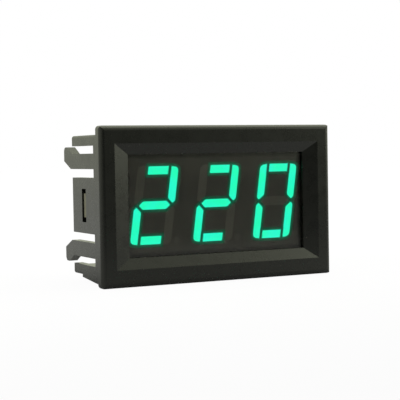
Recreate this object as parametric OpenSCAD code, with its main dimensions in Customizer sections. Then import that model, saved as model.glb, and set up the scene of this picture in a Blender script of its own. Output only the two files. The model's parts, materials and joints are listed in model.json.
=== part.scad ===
// Snap-in digital panel voltmeter, three digits, with an open-backed housing.
// Millimetres. X is to the right seen from the front, +Y goes into the panel, +Z is up.
// The origin is the middle of the bezel's back face, where the meter seats on its panel.

/* [Bezel] */
// Width of the bezel
bezel_w = 48; // [47.5:0.5:60]
// Height of the bezel
bezel_h = 29; // [28:0.5:40]
// Thickness of the bezel, front face to seating face
bezel_t = 2.1; // [2:0.1:3.5]
// Radius of the bezel's front edges
bezel_edge_r = 0.9; // [0.3:0.1:1]
// Radius of the bezel's four corners, seen from the front
bezel_corner_r = 0.7; // [0.2:0.1:1]

/* [Window] */
// Width of the sloped border at the window's left and right
slope_side = 2.9; // [1:0.1:3.4]
// Height of the sloped border above and below the window
slope_top = 2; // [1:0.1:2.6]
// Depth of the sloped border
slope_d = 0.95; // [0.4:0.05:1.1]
// How far the window's left and right edges cover the display
window_lap_w = 0.45; // [0.1:0.05:0.8]
// How far the window's top and bottom edges cover the display
window_lap_h = 0.2; // [0.1:0.05:0.5]
// Thickness of the smoked window sheet
filter_t = 0.8; // [0.5:0.1:1]
// Depth of the pocket that takes the sheet, from the seating plane
filter_pocket = 0.6; // [0.3:0.05:0.8]
// How far the sheet laps behind the window's edge
filter_lap = 1.1; // [0.8:0.1:1.2]
// Gap round the sheet in its pocket
filter_play = 0.1; // [0.05:0.05:0.2]

/* [Sleeve] */
// How far the bezel stands past the sleeve at the left and right
flange_side = 1.4; // [1.2:0.1:1.6]
// How far the bezel stands past the sleeve above and below
flange_top = 1.5; // [1.3:0.1:1.7]
// Length of the sleeve behind the bezel
sleeve_len = 15.4; // [14.5:0.1:18]
// Wall of the sleeve
wall = 1.6; // [1.2:0.1:1.7]
// Radius of the sleeve's long edges
sleeve_edge_r = 0.5; // [0.2:0.1:1]

/* [Spring arms] */
// Height of a spring arm
arm_h = 2.85; // [2.4:0.05:3.2]
// Where the arm leaves the solid wall, behind the seating face
arm_root = 4.7; // [3:0.1:7]
// Height of the corner strip above the upper arm
corner_strip_h = 1.95; // [1.75:0.05:2.3]
// Gap between an arm and its corner strip
arm_outer_gap = 1.45; // [1:0.05:1.8]
// Gap between an arm and the middle plate
arm_inner_gap = 1.6; // [1:0.05:1.9]
// How far the hook reaches behind the sleeve
hook_len = 4.4; // [3.8:0.1:6]
// Height of the hook above its arm
hook_rise = 1.3; // [0.6:0.05:1.6]
// Length of the hook's sloped catch face along the arm
hook_ramp = 2.6; // [1.2:0.1:2.8]
// How far the hook's underside slopes up toward its tip
hook_under = 1.5; // [0.5:0.1:1.6]
// Radius of the hook's tip
hook_tip_r = 0.9; // [0.4:0.1:1]

/* [Snap barbs] */
// Width of a barb under the sleeve
barb_w = 2; // [1:0.1:3]
// Height of a barb at its thick end
barb_h = 1.2; // [0.6:0.05:1.4]
// Height of a barb at its thin end
barb_thin_h = 0.4; // [0.1:0.05:0.5]
// Thickest panel that a barb holds
panel_t_max = 2.7; // [1:0.1:3]
// Length of a barb
barb_len = 8.5; // [4:0.1:10]

/* [Display] */
// Width of the display block
display_w = 37.6; // [37.2:0.1:39]
// Height of the display block
display_h = 19; // [18:0.1:19.8]
// Depth of the display block with its feet
display_d = 8.6; // [7.5:0.1:9]
// Height of the feet that stand on the board
display_foot = 0.6; // [0.4:0.05:0.8]
// Gap between the window sheet and the display's face
display_gap = 0.1; // [0.05:0.05:0.3]
// Distance from digit to digit
digit_pitch = 12.7; // [12:0.1:12.9]
// Height of a digit
digit_h = 14.4; // [12:0.1:15]
// Width of a digit before it leans
digit_w = 8.3; // [7:0.1:8.6]
// Lean of the digits in degrees
digit_lean = 8; // [0:0.5:10]
// Width of a light bar
bar_w = 1.7; // [1.2:0.05:2]
// Gap between two light bars
bar_gap = 0.3; // [0.2:0.05:0.5]
// Radius of a digit's outer corners
digit_corner_r = 0.9; // [0.3:0.1:1.1]
// Radius of a decimal point
point_r = 0.65; // [0.4:0.05:0.75]
// Distance of a decimal point from its digit
point_gap = 0.5; // [0.3:0.05:0.6]
// Depth of the resin that closes the back of the display
resin_d = 2; // [1:0.1:3]
// Wall of the display block round the resin
display_wall = 0.9; // [0.6:0.1:1.2]
// Number that the display shows
shown_number = 220; // [0:1:999]

/* [Circuit board] */
// Gap between the board's top or bottom edge and the sleeve's wall
board_play = 0.2; // [0.1:0.05:0.5]
// Gap between the board's left or right edge and the sleeve's wall
board_side_gap = 1.5; // [1:0.1:1.8]
// Thickness of the board
board_t = 1.6; // [1:0.1:2]
// Height of a side tab
tab_h = 4.4; // [3:0.1:5]
// How far a tab's end lies inside the sleeve's outer face
tab_inset = 0.3; // [0.1:0.05:1]
// Play between a tab and the ends of its slot
tab_end_play = 0.9; // [0.2:0.05:1.2]
// Play between a tab and the front of its slot
tab_front_play = 0.15; // [0.05:0.05:0.3]
// Play between a tab and the back of its slot
tab_back_play = 0.23; // [0.05:0.01:0.5]
// Radius of a wire hole in the board
wire_hole_r = 0.5; // [0.4:0.05:0.55]
// Distance between the two wire holes
wire_pitch = 3.96; // [2.54:0.02:5.08]
// Distance of the wire holes from the board's lower edge
wire_edge = 0.9; // [0.8:0.05:1.2]

/* [Pins and wires] */
// Radius of a display pin
pin_r = 0.25; // [0.2:0.01:0.3]
// Pitch of the display pins
pin_pitch = 2.54; // [2:0.01:2.6]
// Distance between the two rows of display pins
pin_rows = 15.24; // [14:0.01:15.5]
// How far the pins stand out behind the board
pin_out = 1.1; // [0.6:0.1:1.5]
// Radius of a component's wire
wire_r = 0.3; // [0.25:0.01:0.35]
// Clearance round a pin or wire in its hole
hole_play = 0.12; // [0.05:0.01:0.2]
// Radius of a solder joint
solder_r = 0.75; // [0.65:0.05:0.9]

/* [Film capacitor] */
// Length of the film capacitor, lying flat on the board
film_cap_l = 13; // [11.5:0.1:13.5]
// Width of the film capacitor
film_cap_w = 9.4; // [7:0.1:9.8]
// Thickness of the film capacitor
film_cap_t = 5.2; // [3:0.1:6]
// Distance between its wires
film_cap_pitch = 10; // [7.5:0.5:10.5]
// Distance of its wires from its side where they enter the board
film_cap_reach = 1; // [0.6:0.1:1.2]

/* [Fusible resistor] */
// Length of the resistor's body
resistor_len = 9; // [6:0.1:9.5]
// Radius of the resistor's body
resistor_r = 1.6; // [1:0.1:1.7]
// Distance between its wires where they enter the board
resistor_pitch = 11.4; // [10.8:0.1:11.6]

/* [Electrolytic capacitor] */
// Radius of the can
can_r = 2.5; // [2:0.1:2.7]
// Height of the can above its foot
can_h = 5.4; // [4:0.1:6]
// How far the square foot reaches past the can
can_foot_rim = 0.15; // [0.1:0.05:0.3]
// Thickness of the foot
can_foot_t = 1; // [0.8:0.1:1.2]

/* [Trimmer] */
// Side of the trimmer's square housing
trimmer_side = 6.6; // [6.4:0.1:7]
// Height of the trimmer
trimmer_h = 4.8; // [4.4:0.1:6]
// Wall of the housing round its base plate
trimmer_wall = 0.6; // [0.4:0.05:0.7]
// Radius of the rotor's head
rotor_r = 1.75; // [1.2:0.05:1.9]
// Radius of the flange that keeps the rotor in
rotor_flange_r = 2.3; // [2.1:0.05:2.35]
// Thickness of the rotor's flange
rotor_flange_t = 1; // [0.6:0.1:1.2]
// How far the rotor's head lies below the housing's face
rotor_sink = 0.3; // [0.1:0.05:0.6]
// Running clearance round the rotor
rotor_play = 0.06; // [0.03:0.01:0.1]
// Width of the screwdriver slot
driver_slot_w = 0.6; // [0.4:0.05:0.8]
// Depth of the screwdriver slot
driver_slot_d = 0.8; // [0.5:0.05:1]
// Thickness of the trimmer's base plate
trimmer_base_t = 0.9; // [0.7:0.1:1.2]

/* [Small parts] */
// Length of the microcontroller's body
chip_l = 9.9; // [8.6:0.1:10.3]
// Width of the microcontroller's body
chip_w = 3.9; // [3.5:0.1:4.3]
// Height of the microcontroller's body
chip_h = 1.5; // [1:0.1:1.8]
// Number of legs on each side of the microcontroller
chip_legs = 8; // [4:1:8]
// Reach across the microcontroller's legs
chip_reach = 6; // [5.6:0.1:6.2]
// Width of the bridge rectifier's body, across its legs
bridge_w = 3.9; // [3.2:0.1:4.3]
// Length of the bridge rectifier's body
bridge_l = 4.6; // [4:0.1:4.8]
// Height of the bridge rectifier's body
bridge_h = 2.4; // [1.6:0.1:3]
// Reach across the bridge rectifier's legs
bridge_reach = 6.6; // [6:0.1:6.8]
// Length of the voltage regulator's body
regulator_l = 4.5; // [4:0.1:4.8]
// Width of the voltage regulator's body
regulator_w = 2.5; // [2.2:0.1:2.7]
// Height of the voltage regulator's body
regulator_h = 1.5; // [1.2:0.1:1.7]
// Length of a digit transistor's body
transistor_l = 2.9; // [2.5:0.1:3.1]
// Width of a digit transistor's body
transistor_w = 1.3; // [1.1:0.1:1.5]
// Height of a digit transistor's body
transistor_h = 1; // [0.8:0.1:1.2]
// Length of a segment resistor
chip_resistor_l = 1.6; // [1.2:0.1:1.8]
// Width of a segment resistor
chip_resistor_w = 0.8; // [0.5:0.05:0.9]
// Height of a segment resistor
chip_resistor_h = 0.45; // [0.3:0.05:0.6]
// Number of segment resistors
segment_resistor_count = 7; // [3:1:7]
// Pitch of the segment resistors
segment_resistor_pitch = 1.3; // [1.1:0.1:1.4]
// Length of a chip capacitor
chip_capacitor_l = 2; // [1.6:0.1:2.2]
// Width of a chip capacitor
chip_capacitor_w = 1.25; // [0.8:0.05:1.4]
// Height of a chip capacitor
chip_capacitor_h = 0.8; // [0.6:0.05:1.3]
// Length of a diode's body
diode_l = 2.7; // [2.3:0.1:2.9]
// Width of a diode's body
diode_w = 1.6; // [1.2:0.1:1.7]
// Height of a diode's body
diode_h = 1.15; // [0.9:0.05:1.3]

/* [Hidden] */

$fn = 48;
eps = 0.01;    // overlap that joins two bodies or two cuts
past = 1;      // how far a cut runs past the surface it opens
touch = 0.02;  // gap left between pieces that sit tight in each other

// Places along Y, from the front backwards; Y = 0 is the bezel's seating face
front_y = -bezel_t;
slope_end_y = front_y + slope_d;
filter_y = -filter_pocket;
filter_back_y = filter_y + filter_t;
display_y = filter_back_y + display_gap;
board_y = display_y + display_d;
display_back_y = board_y - display_foot;
bars_end_y = display_back_y - resin_d;
board_rear_y = board_y + board_t;
arm_end_y = sleeve_len + hook_len;

// Sizes that follow from the pieces that have to fit each other
sleeve_w = bezel_w - 2 * flange_side;
sleeve_h = bezel_h - 2 * flange_top;
window_w = display_w - 2 * window_lap_w;
window_h = display_h - 2 * window_lap_h;
recess_w = window_w + 2 * slope_side;
recess_h = window_h + 2 * slope_top;
pocket_w = window_w + 2 * filter_lap;
pocket_h = window_h + 2 * filter_lap;
board_w = sleeve_w - 2 * wall - 2 * board_side_gap;
board_h = sleeve_h - 2 * wall - 2 * board_play;
slot_h = tab_h + 2 * tab_end_play;
can_foot = 2 * (can_r + can_foot_rim);

// Heights of the strips that make up a side wall, from the middle outwards
strip_in = sleeve_h / 2 - corner_strip_h;
arm_top = strip_in - arm_outer_gap;
arm_bottom = arm_top - arm_h;
plate_half = arm_bottom - arm_inner_gap;

// Places of the parts on the board's back, as X and Z, most of them counted from its edges
half_w = board_w / 2;
half_h = board_h / 2;
film_cap_at = [-half_w + 10.5, -0.6];
resistor_at = [-half_w + 6.5, half_h - 2.5];
can_at = [half_w - 4.9, -1];
trimmer_at = [half_w - 4.9, half_h - 4.6];
chip_at = [4.3, 0];
bridge_at = [-half_w + 4.1, -half_h + 2.6];
regulator_at = [-half_w + 10, -half_h + 2.6];
transistor_at = [for (k = [-1 : 1]) chip_at + [3.8 * k + 0.2, -4.9]];
chip_capacitor_at = [for (k = [-1 : 1]) [4 * k, half_h - 1.25]];
diode_at = [for (k = [-1, 1]) [2.6 * k, -half_h + 1.25]];
segment_resistor_z = chip_at[1] + 5.2;
wire_holes_at = [half_w - 6.5, -half_h + wire_edge];

// Colours
black_plastic = [0.13, 0.13, 0.12];
smoked = [0.1, 0.09, 0.09, 0.6];
face_black = [0.16, 0.15, 0.14];
lit_green = [0.1, 1, 0.78];
dark_bar = [0.3, 0.29, 0.28];
board_green = [0.05, 0.28, 0.16];
tinned = [0.78, 0.78, 0.76];
epoxy_black = [0.08, 0.08, 0.09];

// ---- shared shapes ----

// A block with its four edges along Z rounded
module rounded_block(size, r) {
    translate([r, 0, 0]) cube([size[0] - 2 * r, size[1], size[2]]);
    translate([0, r, 0]) cube([size[0], size[1] - 2 * r, size[2]]);
    for (x = [r, size[0] - r], y = [r, size[1] - r])
        translate([x, y, 0]) cylinder(r = r, h = size[2]);
}

// Turns a shape drawn flat, with its height along Z, so that its height runs along +Y
module facing_back() {
    rotate([90, 0, 0]) mirror([0, 0, 1]) children();
}

// A block standing along Y with rounded corners, centred on X and Z
module rounded_plate(w, h, r, y0, y1) {
    translate([-w / 2, y0, -h / 2]) facing_back() rounded_block([w, h, y1 - y0], r);
}

// A plain block along Y, centred on X and Z
module centred_block(w, h, y0, y1) {
    translate([-w / 2, y0, -h / 2]) cube([w, y1 - y0, h]);
}

// A profile drawn with Y to the right and Z up, carried along X from x0
module along_x(x0, length) {
    translate([x0, 0, 0]) rotate([90, 0, 90]) linear_extrude(length) children();
}

// A profile drawn with X to the right and Y up, carried along Z from z0
module along_z(z0, length) {
    translate([0, 0, z0]) linear_extrude(length) children();
}

// A round hole or pin along Y at each place
module pins_at(places, r, y0, y1) {
    for (p = places) translate([p[0], y0, p[1]]) rotate([-90, 0, 0]) cylinder(r = r, h = y1 - y0);
}

// Puts a part on the board's back: its X stays, its Z points away from the board
module on_board(at) {
    translate([at[0], board_rear_y, at[1]]) rotate([-90, 0, 0]) children();
}

// Puts a part on the board's front: its X stays, its Z points away from the board
module under_board(at) {
    translate([at[0], board_y, at[1]]) rotate([90, 0, 0]) children();
}

// ---- housing ----

// Outline of the bezel across one direction, with its two front corners rounded
module front_rounded(w, r) {
    translate([-w / 2, front_y + r]) square([w, bezel_t - r]);
    translate([-w / 2 + r, front_y]) square([w - 2 * r, bezel_t]);
    for (side = [-1, 1]) translate([side * (w / 2 - r), front_y + r]) circle(r);
}

module bezel_body() {
    intersection() {
        rounded_plate(bezel_w, bezel_h, bezel_corner_r, front_y, 0);
        along_z(-bezel_h / 2, bezel_h) front_rounded(bezel_w, bezel_edge_r);
        rotate([0, 90, 0]) along_z(-bezel_w / 2, bezel_w) front_rounded(bezel_h, bezel_edge_r);
    }
}

// Outline of the recess across one direction: wide in front, window-wide behind
module slope_outline(outer, inner) {
    polygon([
        [-outer / 2, front_y], [outer / 2, front_y],
        [inner / 2, slope_end_y], [-inner / 2, slope_end_y]
    ]);
}

module sloped_recess() {
    intersection() {
        along_z(-bezel_h / 2, bezel_h) slope_outline(recess_w, window_w);
        rotate([0, 90, 0]) along_z(-bezel_w / 2, bezel_w) slope_outline(recess_h, window_h);
    }
    centred_block(recess_w, recess_h, front_y - past, front_y + eps);
    centred_block(window_w, window_h, slope_end_y - eps, filter_y + eps);
}

// The upper spring arm with its hook, drawn with Y to the right and Z up
module arm_outline() {
    hook_top = arm_top + hook_rise;
    translate([arm_root - eps, arm_bottom]) square([sleeve_len - arm_root + eps, arm_h]);
    polygon([
        [sleeve_len - eps, arm_bottom], [sleeve_len - eps, arm_top], [sleeve_len, arm_top],
        [sleeve_len + hook_ramp, hook_top], [arm_end_y - hook_tip_r, hook_top],
        [arm_end_y - hook_tip_r, hook_top - hook_tip_r], [arm_end_y, hook_top - hook_tip_r],
        [arm_end_y, arm_bottom + hook_under], [sleeve_len + hook_tip_r, arm_bottom]
    ]);
    translate([arm_end_y - hook_tip_r, hook_top - hook_tip_r]) circle(hook_tip_r);
}

// The side wall: corner strips and arms above and below, middle plate with the board's slot
module side_outline() {
    for (flip = [0, 1])
        mirror([0, flip]) {
            translate([0, strip_in]) square([sleeve_len, corner_strip_h]);
            arm_outline();
        }
    translate([0, -sleeve_h / 2]) square([arm_root, sleeve_h]);
    difference() {
        translate([0, -plate_half]) square([sleeve_len, 2 * plate_half]);
        translate([board_y - tab_front_play, -slot_h / 2])
            square([board_t + tab_front_play + tab_back_play, slot_h]);
    }
}

// A barb under the bottom wall: its thick end faces the panel, its thin end the back
module barb_outline() {
    bottom = -sleeve_h / 2;
    polygon([
        [panel_t_max, bottom + wall / 2], [panel_t_max, bottom - barb_h],
        [panel_t_max + barb_len, bottom - barb_thin_h], [panel_t_max + barb_len, bottom + wall / 2]
    ]);
}

module bezel_housing() color(black_plastic) {
    difference() {
        bezel_body();
        sloped_recess();
        centred_block(pocket_w, pocket_h, filter_y, past);
    }
    // top and bottom walls
    for (side = [-1, 1])
        intersection() {
            rounded_plate(sleeve_w, sleeve_h, sleeve_edge_r, -eps, sleeve_len);
            translate([-sleeve_w / 2, -past, side > 0 ? sleeve_h / 2 - wall : -sleeve_h / 2])
                cube([sleeve_w, sleeve_len + 2 * past, wall]);
        }
    // side walls with the spring arms
    for (side = [-1, 1])
        intersection() {
            along_x(side > 0 ? sleeve_w / 2 - wall : -sleeve_w / 2, wall) side_outline();
            rounded_plate(sleeve_w, sleeve_h, sleeve_edge_r, -eps, arm_end_y + past);
        }
    // barbs under the bottom wall
    for (side = [-1, 1])
        along_x(side > 0 ? sleeve_w / 2 - barb_w : -sleeve_w / 2, barb_w) barb_outline();
}

module window_filter() color(smoked)
    centred_block(pocket_w - 2 * filter_play, pocket_h - 2 * filter_play, filter_y, filter_back_y);

// ---- display ----

point_at = [digit_w / 2 + point_r + point_gap, -digit_h / 2 + point_r];
pin_columns = 6;
pin_start = 0.3;      // how deep the pins start behind the bars' back
shell_corner_r = 0.3; // rounding of the block's long edges
foot_w = 1;           // width of a foot
foot_in = 2.3;        // distance of a foot's middle from the block's end

// Leans a point of a digit to the right
function leaned(p) = [p[0] + p[1] * tan(digit_lean), p[1]];

// Points of a quarter circle about c, from angle a0
function quarter(c, r, a0) = [for (k = [0 : 4]) c + r * [cos(a0 + k * 22.5), sin(a0 + k * 22.5)]];

// Upright bar of the right upper quarter; the others are its mirror images
function upright_points() =
    let (
        x1 = digit_w / 2, x0 = x1 - bar_w, top = digit_h / 2,
        r = digit_corner_r, g = bar_gap / 2
    )
    concat(
        [[x0, bar_w / 2 + bar_gap], [x1 - bar_w / 3, g], [x1, g + bar_w / 3]],
        quarter([x1 - r, top - r], r, 0),
        [[x0, top]]
    );

// Level bar at the top; the bottom one is its mirror image
function level_points() =
    let (x1 = digit_w / 2 - bar_w - bar_gap, top = digit_h / 2)
    [[-x1, top - bar_w], [x1, top - bar_w], [x1, top], [-x1, top]];

// Middle bar, pointed at both ends
function middle_points() =
    let (tip = digit_w / 2 - bar_w / 3 - bar_gap, x1 = tip - bar_w / 2)
    [[-x1, -bar_w / 2], [x1, -bar_w / 2], [tip, 0], [x1, bar_w / 2], [-x1, bar_w / 2], [-tip, 0]];

// The seven bars in the usual order a to g
function bar_points(k) =
    let (
        flip_x = k == 4 || k == 5 ? -1 : 1,
        flip_z = k == 2 || k == 3 || k == 4 ? -1 : 1,
        points = k == 6 ? middle_points() : k == 0 || k == 3 ? level_points() : upright_points()
    )
    [for (p = points) leaned([flip_x * p[0], flip_z * p[1]])];

// Which bars light for the numbers 0 to 9
LIT = [
    [1, 1, 1, 1, 1, 1, 0], [0, 1, 1, 0, 0, 0, 0], [1, 1, 0, 1, 1, 0, 1], [1, 1, 1, 1, 0, 0, 1],
    [0, 1, 1, 0, 0, 1, 1], [1, 0, 1, 1, 0, 1, 1], [1, 0, 1, 1, 1, 1, 1], [1, 1, 1, 0, 0, 0, 0],
    [1, 1, 1, 1, 1, 1, 1], [1, 1, 1, 1, 0, 1, 1]
];

function digit_shown(n) = floor(shown_number / pow(10, 3 - n)) % 10;
function bar_is_lit(n, k) = LIT[digit_shown(n)][k] == 1;

// Carries an outline of digit n from y0 to y1
module in_digit(n, y0, y1) {
    translate([(n - 2) * digit_pitch, y0, 0]) facing_back() linear_extrude(y1 - y0) children();
}

module decimal_point() {
    translate(leaned(point_at)) circle(point_r);
}

module lit_bars(n) color(lit_green)
    for (k = [0 : 6])
        if (bar_is_lit(n, k)) in_digit(n, display_y, bars_end_y) polygon(bar_points(k));

module dark_bars(n) color(dark_bar) {
    for (k = [0 : 6])
        if (!bar_is_lit(n, k)) in_digit(n, display_y, bars_end_y) polygon(bar_points(k));
    in_digit(n, display_y, bars_end_y) decimal_point();
}

// Places of the display pins, as X and Z
function pin_places() = [
    for (row = [-1, 1], k = [0 : pin_columns - 1])
        [(k - (pin_columns - 1) / 2) * pin_pitch, row * pin_rows / 2]
];

module display_shell() color(face_black) {
    difference() {
        rounded_plate(display_w, display_h, shell_corner_r, display_y, display_back_y);
        for (n = [1 : 3]) {
            for (k = [0 : 6]) in_digit(n, display_y - past, display_back_y) polygon(bar_points(k));
            in_digit(n, display_y - past, display_back_y) decimal_point();
        }
        centred_block(
            display_w - 2 * display_wall, display_h - 2 * display_wall, bars_end_y, display_back_y + past
        );
    }
    // four feet that stand on the board
    for (x = [-1, 1], z = [-1, 1])
        translate([x * (display_w / 2 - foot_in) - foot_w / 2, display_back_y - display_wall,
                   z * (display_h - display_wall) / 2 - display_wall / 2])
            cube([foot_w, display_wall + display_foot, display_wall]);
}

module display_resin() color(dark_bar)
    difference() {
        centred_block(
            display_w - 2 * display_wall - 2 * touch, display_h - 2 * display_wall - 2 * touch,
            bars_end_y + touch, display_back_y - touch
        );
        pins_at(pin_places(), pin_r + touch, bars_end_y - past, display_back_y + past);
    }

module display_pins() color(tinned)
    pins_at(pin_places(), pin_r, bars_end_y + pin_start, board_rear_y + pin_out);

// ---- circuit board ----

board_corner_r = 0.5;
solder_waist = 0.62;   // width of a solder joint a third of the way up, as a part of its foot
solder_margin = 0.2;   // how far a pin stands out of its solder joint
lead_margin = 0.15;    // room between a trimmed wire and the display's back
lead_out = display_foot - lead_margin;

// Places of the holes for the wired parts, as X and Z
film_cap_leads = [
    for (side = [-1, 1]) film_cap_at + [side * film_cap_pitch / 2, film_cap_w / 2 + film_cap_reach]
];
resistor_leads = [for (side = [-1, 1]) resistor_at + [side * resistor_pitch / 2, 0]];
trimmer_base_side = trimmer_side - 2 * trimmer_wall;
trimmer_lead_in = 0.5; // distance of a trimmer lead from the base plate's edge
trimmer_lead_x = trimmer_base_side / 2 - trimmer_lead_in;
trimmer_lead_z = trimmer_lead_x * 0.55;
trimmer_lead_steps = [
    [-trimmer_lead_x, -trimmer_lead_z], [0, trimmer_lead_z], [trimmer_lead_x, -trimmer_lead_z]
];
trimmer_leads = [for (step = trimmer_lead_steps) trimmer_at + step];
wire_holes = [for (side = [-1, 1]) wire_holes_at + [side * wire_pitch / 2, 0]];

module circuit_board() color(board_green)
    difference() {
        union() {
            rounded_plate(board_w, board_h, board_corner_r, board_y, board_rear_y);
            centred_block(sleeve_w - 2 * tab_inset, tab_h, board_y, board_rear_y);
        }
        pins_at(concat(pin_places(), trimmer_leads), pin_r + hole_play, board_y - past, board_rear_y + past);
        pins_at(concat(film_cap_leads, resistor_leads), wire_r + hole_play, board_y - past, board_rear_y + past);
        pins_at(wire_holes, wire_hole_r, board_y - past, board_rear_y + past);
    }

// A cone of solder round a pin, with a hollow flank
module solder_cone(r_pin, height) {
    rotate_extrude()
        polygon([
            [r_pin + touch, 0], [solder_r, 0], [solder_r * solder_waist, height * 0.35],
            [r_pin + 0.12, height], [r_pin + touch, height]
        ]);
}

module display_solder_joints() color(tinned)
    for (p = pin_places()) on_board(p) solder_cone(pin_r, pin_out - solder_margin);

module component_solder_joints() color(tinned) {
    for (p = trimmer_leads) under_board(p) solder_cone(pin_r, lead_out);
    for (p = concat(film_cap_leads, resistor_leads)) under_board(p) solder_cone(wire_r, lead_out);
}

// ---- wired parts ----

part_lift = 0.1;        // how far a wired part stands off the board
film_cap_edge_r = 0.5;

module film_capacitor() color([0.83, 0.66, 0.12])
    on_board(film_cap_at)
        translate([-film_cap_l / 2, -film_cap_w / 2, part_lift])
            rounded_block([film_cap_l, film_cap_w, film_cap_t], film_cap_edge_r);

// A wire that leaves a body level, turns and goes straight through the board
module bent_wire(run, height) {
    translate([0, 0, height]) rotate([90, 0, 0]) cylinder(r = wire_r, h = run);
    translate([0, 0, height]) sphere(wire_r);
    translate([0, 0, -board_t - lead_out]) cylinder(r = wire_r, h = board_t + lead_out + height);
}

module film_capacitor_wires() color(tinned)
    for (p = film_cap_leads)
        on_board(p) rotate([0, 0, 180]) bent_wire(film_cap_reach - touch, part_lift + film_cap_t / 2);

resistor_axis_h = resistor_r + part_lift;
resistor_cap_len = resistor_len * 0.22;
resistor_neck = 0.86;   // radius of the resistor between its end caps, as a part of theirs

module fusible_resistor() color([0.2, 0.42, 0.36])
    on_board(resistor_at) translate([0, 0, resistor_axis_h]) rotate([0, 90, 0]) {
        cylinder(r = resistor_r * resistor_neck, h = resistor_len - resistor_cap_len, center = true);
        for (side = [-1, 1]) translate([0, 0, side * (resistor_len - resistor_cap_len) / 2])
            cylinder(r = resistor_r, h = resistor_cap_len, center = true);
    }

module fusible_resistor_wires() color(tinned)
    for (side = [-1, 1])
        on_board(resistor_at + [side * resistor_pitch / 2, 0])
            rotate([0, 0, side > 0 ? -90 : 90])
                bent_wire((resistor_pitch - resistor_len) / 2 - touch, resistor_axis_h);

// ---- electrolytic capacitor ----

can_edge_r = 0.3;
can_groove_r = 0.35;
can_groove_h = 0.9;     // height of the crimp above the can's lower edge
foot_corner_cut = 1.3;
foot_groove_w = 0.7;
foot_groove_d = 0.2;

module electrolytic_can() color([0.75, 0.76, 0.78])
    on_board(can_at) translate([0, 0, can_foot_t + touch]) rotate_extrude()
        difference() {
            union() {
                square([can_r, can_h - can_edge_r]);
                square([can_r - can_edge_r, can_h]);
                translate([can_r - can_edge_r, can_h - can_edge_r]) circle(can_edge_r);
            }
            translate([can_r + 0.1, can_groove_h]) circle(can_groove_r);
        }

module electrolytic_foot() color(epoxy_black)
    on_board(can_at)
        difference() {
            linear_extrude(can_foot_t)
                difference() {
                    square(can_foot, center = true);
                    for (side = [-1, 1])
                        translate([can_foot / 2, side * can_foot / 2])
                            rotate(45) square(foot_corner_cut, center = true);
                }
            translate([0, 0, foot_groove_d - past])
                linear_extrude(past) square([can_foot + past, foot_groove_w], center = true);
        }

// ---- trimmer ----

trimmer_lift = 0.05;
trimmer_corner_r = 0.3;
rotor_flange_z = trimmer_base_t + rotor_play;
rotor_chamber_top = rotor_flange_z + rotor_flange_t + rotor_play;
rotor_top = trimmer_h - rotor_sink;

module trimmer_housing() color([0.1, 0.25, 0.6])
    on_board(trimmer_at)
        difference() {
            translate([-trimmer_side / 2, -trimmer_side / 2, trimmer_lift])
                rounded_block([trimmer_side, trimmer_side, trimmer_h - trimmer_lift], trimmer_corner_r);
            // room for the rotor's head
            cylinder(r = rotor_r + rotor_play, h = trimmer_h + past);
            // chamber for the rotor's flange
            cylinder(r = rotor_flange_r + rotor_play, h = rotor_chamber_top);
            // seat for the base plate
            translate([-trimmer_base_side / 2, -trimmer_base_side / 2, -past])
                cube([trimmer_base_side, trimmer_base_side, trimmer_base_t + past]);
        }

module trimmer_base() color([0.85, 0.83, 0.76])
    on_board(trimmer_at)
        difference() {
            translate([-trimmer_base_side / 2 + touch, -trimmer_base_side / 2 + touch, part_lift])
                cube([trimmer_base_side - 2 * touch, trimmer_base_side - 2 * touch,
                      trimmer_base_t - part_lift]);
            for (step = trimmer_lead_steps)
                translate([step[0], -step[1], -past])
                    cylinder(r = pin_r + touch, h = trimmer_base_t + 2 * past);
        }

module trimmer_rotor() color([0.9, 0.9, 0.86])
    on_board(trimmer_at)
        difference() {
            translate([0, 0, rotor_flange_z]) {
                cylinder(r = rotor_flange_r, h = rotor_flange_t);
                cylinder(r = rotor_r, h = rotor_top - rotor_flange_z);
            }
            translate([-rotor_r - past, -driver_slot_w / 2, rotor_top - driver_slot_d])
                cube([2 * (rotor_r + past), driver_slot_w, driver_slot_d + past]);
        }

module trimmer_pins() color(tinned)
    pins_at(trimmer_leads, pin_r, board_y - lead_out, board_rear_y + trimmer_base_t - solder_margin);

// ---- surface-mounted parts ----

leg_pitch = 1.27;
leg_w = 0.42;
leg_t = 0.2;
body_lift = 0.15;       // how far a body with legs stands off the board
part_line = 0.45;       // height of the widest line of a moulded body, as a part of its height
end_draft = 0.25;       // how much narrower a moulded body's top is than its widest line
pin_mark_r = 0.4;
pin_mark_d = 0.15;
pin_mark_in = 0.9;
broad_leg_w = 0.65;
tab_metal_t = 0.23;
tab_metal_w = 1.8;
tab_metal_out = 0.45;
regulator_leg_out = 0.85;
regulator_leg_pitch = 1.5;
transistor_leg_pitch = 1.9;
transistor_reach = 2.4;
small_leg_t = 0.13;
small_lift = 0.1;
diode_tab_out = 0.5;
diode_tab_w = 0.6;

// Height of the widest line of a moulded body
function line_height(h, lift) = lift + (h - lift) * part_line;

// A moulded body along X with drafted sides, standing clear of the board
module moulded_body(length, w, h, lift) {
    mid = line_height(h, lift);
    translate([-length / 2, 0, 0]) rotate([90, 0, 90]) linear_extrude(length)
        polygon([
            [-w / 2 + end_draft / 2, lift], [w / 2 - end_draft / 2, lift], [w / 2, mid],
            [w / 2 - end_draft, h], [-w / 2 + end_draft, h], [-w / 2, mid]
        ]);
}

// A gull-wing leg from a body's side at x0 out to x1, from the body's widest line down to the board
module gull_leg(x0, x1, mid_h, thick, width) {
    shoulder = x0 + (x1 - x0) * 0.4;
    translate([0, width / 2, 0]) rotate([90, 0, 0]) linear_extrude(width)
        polygon([
            [x0, mid_h], [shoulder + thick / 2, mid_h], [shoulder + thick * 1.2, thick],
            [x1, thick], [x1, 0], [shoulder, 0], [shoulder - thick * 0.7, mid_h - thick], [x0, mid_h - thick]
        ]);
}

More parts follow.
